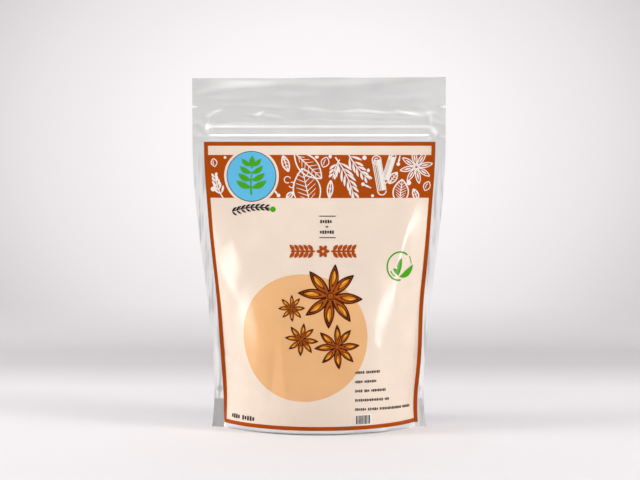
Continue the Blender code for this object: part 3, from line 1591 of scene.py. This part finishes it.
@dataclass
class SmallMarks:
    """Generic marks for small print: ticks for lines of type, an ornament, a leaf stamp."""

    press: Press
    lines: tuple[tuple[float, ...], ...] = (
        (5.8, 9.6),
        (5.6, 9.0),
        (5.0, 4.0, 11.5),
        (20.5, 3.4),
        (7.4, 7.4, 19.5, 9),
    )

    def words(
        self, left: float, height: float, lengths: tuple[float, ...], tall: float, slope: float = 0
    ) -> Drawing:
        """A row of short upright ticks in groups, as small print looks from afar.

        Args:
            left: Where it starts.
            height: Middle of the first tick.
            lengths: Length of each group.
            tall: Height of the ticks.
            slope: Fall for each mm of run.

        Returns:
            The ticks.
        """
        row = []
        pace, thick = 0.72 * tall, 0.47 * tall
        for length in lengths:
            for k in range(max(1, round(length / pace))):
                x, y = left + thick / 2, height - slope * left
                reach = tall * (0.5 if (k * 7 + round(length)) % 3 else 0.38)
                row.append(stroke((x, y - reach), (x, y + reach * 0.9), thick))
                left += pace
            left += 0.6 * tall
        return row

    def flourish(self, at: Point) -> Drawing:
        """A pen flourish with small leaves, where a name would stand.

        Args:
            at: Its middle.

        Returns:
            Its strokes.
        """
        parts = [stroke((-12.6, -1.4), (12.2, 0.6), 0.62, 1.5)]
        stem = bent((-12.6, -1.4), (12.2, 0.6), 1.5, 9)
        for k, root in enumerate(stem[:-1]):
            for side in (-1, 1):
                tip = (root[0] + 3.4, root[1] + side * (2.5 - 0.12 * k))
                parts.append(blade(tuple(root), tip, 1.2, side * 0.35))
        return [p.moved(at) for p in parts]

    def ornament(self) -> Drawing:
        """A row of leaves on either side of a small flower, in place of a title.

        Returns:
            Its shapes.
        """
        at = (2.5, 113.2)
        parts = [blade((0.5, 0), (4.2, 0), 2.3).moved(at, 60 * k) for k in range(6)]
        for side in (-1, 1):
            parts.append(stroke((at[0] + side * 5, at[1]), (at[0] + side * 20, at[1]), 1.1))
            for k in range(5):
                root = (at[0] + side * (6.4 + 2.9 * k), at[1])
                for turn in (-1, 1):
                    tip = (root[0] + side * 3.0, root[1] + turn * 4.0)
                    parts.append(blade(root, tip, 2.3, side * turn * 0.3))
        return parts

    def build(self) -> None:
        """Prints the marks."""
        dark = [stroke((0.2, y), (10.4, y), 0.5) for y in (134.8, 121.6)]
        dark += self.words(0.8, 131.5, (8.2,), 2.1) + self.words(4.2, 128.3, (1.4,), 1.2)
        dark += self.words(0.6, 125.0, (8.8,), 2.1)
        margin = 22.8
        for row, lengths in enumerate(self.lines):
            slope = 0.008 * row
            dark += self.words(margin, 38.8 - 5.7 * row + margin * slope, lengths, 1.75, slope)
        dark += self.words(-63.8, 7.6, (9.2, 11.4), 3.0, 0.02)
        for k in range(10):
            left = 23.6 + 0.98 * k
            dark.append(stroke((left, 6.6), (left, 12.0), 0.52 + 0.22 * ((k * 5) % 3 == 0)))
        ground = [stroke((22.4, 9.3), (34.0, 9.3), 6.9)]
        self.press.ribbons("barcode_ground", ground, Level.MARK, WHITE)
        dark += self.flourish((-43.2, 139.0))
        self.press.ribbons("small_marks", dark, Level.OVER, DARK)
        self.press.ribbons("title_ornament", self.ornament(), Level.MARK, ORANGE)
        c = (52.8, 103.4)
        stamp = [ring(c, 8.8, 1.0, 50, 280), ring(c, 9.4, 0.6, 8, 40), ring(c, 6.9, 0.7, 205, 245)]
        stamp += [disc((-29.0, 139.0), 1.75, 1, 25)]
        stamp += [blade((c[0] + 0.4, c[1] - 6.6), (c[0] + 10.8, c[1] + 0.8), 4.4, -1.9)]
        stamp += [blade((c[0] - 0.6, c[1] - 6.0), (c[0] - 4.6, c[1] - 1.4), 2.6, -0.6)]
        stamp += [blade((c[0] - 0.2, c[1] - 5.6), (c[0] + 1.4, c[1] + 5.2), 3.4, 0.6)]
        self.press.ribbons("leaf_stamp", stamp, Level.MARK, GREEN)


# --------------------------------------------------------------------------------------- the studio


@dataclass(frozen=True)
class Softbox:
    """A soft rectangular light aimed at a point of the pouch."""

    name: str
    place: Place
    size: Point
    power: float
    aim: Place = (0.0, 0.0, 0.11)

    def build(self) -> None:
        """Adds the light."""
        data = bpy.data.lights.new(self.name, "AREA")
        data.shape = "RECTANGLE"
        data.size, data.size_y = self.size
        data.energy = self.power
        light = bpy.data.objects.new(self.name, data)
        light.location = self.place
        run = np.subtract(self.aim, self.place)
        light.rotation_euler = Vector(run).to_track_quat("-Z", "Y").to_euler()
        bpy.context.scene.collection.objects.link(light)


@dataclass
class Studio:
    """A pale sweep, soft lights and the camera."""

    camera_place: Place = (0.0006, -1.0, 0.166)
    camera_tilt: float = 2.68
    focal_length: float = 88.85
    floor_back: float = 0.42
    sweep_radius: float = 0.10
    half_width: float = 2.2
    wall_height: float = 2.4
    floor_front: float = -2.4
    wall_starts: float = 0.035
    # Where the floor's painted shade starts and where it is full, going back and going aside.
    shade_back: Point = (0.08, 0.42)
    shade_aside: Point = (0.1, 0.6)
    # The floor's colour near the pouch, and the painted shade that it darkens to further away.
    floor_near: Colour = linear(236, 233, 234)
    floor_far_shade: Colour = linear(211, 208, 209)
    room_tint: Colour = linear(236, 236, 238)
    room_light: float = 0.36
    room_tones: tuple[Stop, ...] = ((0.0, linear(204, 201, 202)), (0.55, linear(252, 250, 251)))
    pool_height: float = 0.19
    pool_reach: Place = (0.5, 1.0, 0.36)
    pool_tones: tuple[Stop, ...] = (
        (0.0, linear(192, 188, 189)),
        (1.0, linear(255, 252, 253)),
        (0.2, linear(206, 202, 203)),
        (0.45, linear(234, 230, 231)),
        (0.7, linear(250, 246, 247)),
    )

    def sweep(self) -> None:
        """Makes the floor and the wall behind as one sheet."""
        r = self.sweep_radius
        turn = [math.radians(9 * k) for k in range(11)]
        profile = [(self.floor_front, 0.0)]
        profile += [(self.floor_back + r * math.sin(t), r - r * math.cos(t)) for t in turn]
        profile += [(self.floor_back + r, self.wall_height)]
        bm = bmesh.new()
        for vert, i, side in add_grid(bm, len(profile) - 1, 1):
            vert.co = (self.half_width * (1 if side == 0 else -1), *profile[i])
        bm.normal_update()
        floor = min(bm.faces, key=lambda f: f.calc_center_median().z)
        if floor.normal.z < 0:
            bmesh.ops.reverse_faces(bm, faces=bm.faces)
        add_piece("sweep", bm, self.paper())

    def paper(self) -> bpy.types.Material:
        """Makes the paper. It takes the shadow on the floor, has painted shade that darkens the
        floor towards the back and the sides, and shows a soft glow on the wall.

        It is clear from behind, so that the pouch can be seen from there too.

        Returns:
            The material.
        """
        kit = Surface("studio_paper")
        x, y, z = kit.axes()
        aside = kit.math("ABSOLUTE", x)
        # Painted shade: the floor darkens towards the back and the sides.
        shade_falls = kit.spread(y, *self.shade_back), kit.spread(aside, *self.shade_aside)
        kit.colour(kit.math("MAXIMUM", *shade_falls), self.floor_near, self.floor_far_shade)
        kit.fill("Roughness", 0.9)
        kit.fill("Specular IOR Level", 0.1)
        middle = (0, self.floor_back + self.sweep_radius, self.pool_height)
        sockets = {"Vector": kit.coordinates, "Location": middle, "Scale": self.pool_reach}
        place = kit.add("Mapping", sockets, vector_type="TEXTURE").outputs["Vector"]
        pool = kit.add("TexGradient", {"Vector": place}, gradient_type="SPHERICAL").outputs["Fac"]
        glow = kit.add("Emission", {"Color": kit.ramp(pool, self.pool_tones)}).outputs["Emission"]
        on_wall = kit.product(kit.seen(), kit.spread(z, 0.0, self.wall_starts))
        front = kit.blend(on_wall, kit.shader.outputs["BSDF"], glow)
        behind = kit.add("NewGeometry", {}).outputs["Backfacing"]
        clear = kit.add("BsdfTransparent", {}).outputs["BSDF"]
        kit.plug(kit.output, kit.blend(behind, front, clear))
        return kit.material

    def world(self) -> None:
        """Gives the room an even pale light, and shows it darker low down than overhead."""
        world = bpy.data.worlds.new("room")
        kit = NodeKit(world)
        lit = kit.tree.nodes["Background"]
        kit.plug(lit.inputs["Color"], (*self.room_tint, 1))
        kit.plug(lit.inputs["Strength"], self.room_light)
        heading = kit.add("TexCoord", {}).outputs["Generated"]
        rise = kit.add("SeparateXYZ", {"Vector": heading}).outputs["Z"]
        shown = kit.add("Background", {"Color": kit.ramp(rise, self.room_tones)})
        backgrounds = lit.outputs["Background"], shown.outputs["Background"]
        kit.plug(kit.output, kit.blend(kit.seen(), *backgrounds))
        bpy.context.scene.world = world

    def camera(self) -> None:
        """Sets up the camera, a little above the middle of the pouch and looking slightly down."""
        data = bpy.data.cameras.new("camera")
        data.lens = self.focal_length
        data.sensor_width = 36
        camera = bpy.data.objects.new("camera", data)
        camera.location = self.camera_place
        camera.rotation_euler = (math.radians(90 - self.camera_tilt), 0, 0)
        bpy.context.scene.collection.objects.link(camera)
        bpy.context.scene.camera = camera

    def build(self) -> None:
        """Makes the whole set."""
        self.sweep()
        self.world()
        for light in (
            Softbox("left_box", (-1.08, -0.2, 0.42), (0.4, 0.9), 9.2),
            Softbox("right_box", (1.0, -0.45, 0.45), (0.26, 0.8), 7.4),
            Softbox("overhead", (0.0, -0.5, 1.2), (1.1, 0.7), 4.0),
            Softbox("back_fill", (0.0, 0.4, 1.4), (1.4, 0.5), 1.6),
        ):
            light.build()
        self.camera()
        bpy.context.scene.view_settings.view_transform = "Standard"


def main() -> None:
    """Builds the pouch, its print and the set."""
    logging.basicConfig(level=logging.INFO, format="%(message)s")
    grid = FilmGrid(PouchShape())
    skin = FilmSkin(grid).build()
    log.info("pouch_skin: %d faces", len(skin.data.polygons))
    press = Press(grid)
    label = Label(press)
    band, roundel, picture = SpiceBand(press, label), Roundel(press), SpicePicture(press)
    for part in (label, band, roundel, picture, SmallMarks(press)):
        part.build()
    Studio().build()


if __name__ == "__main__":
    main()
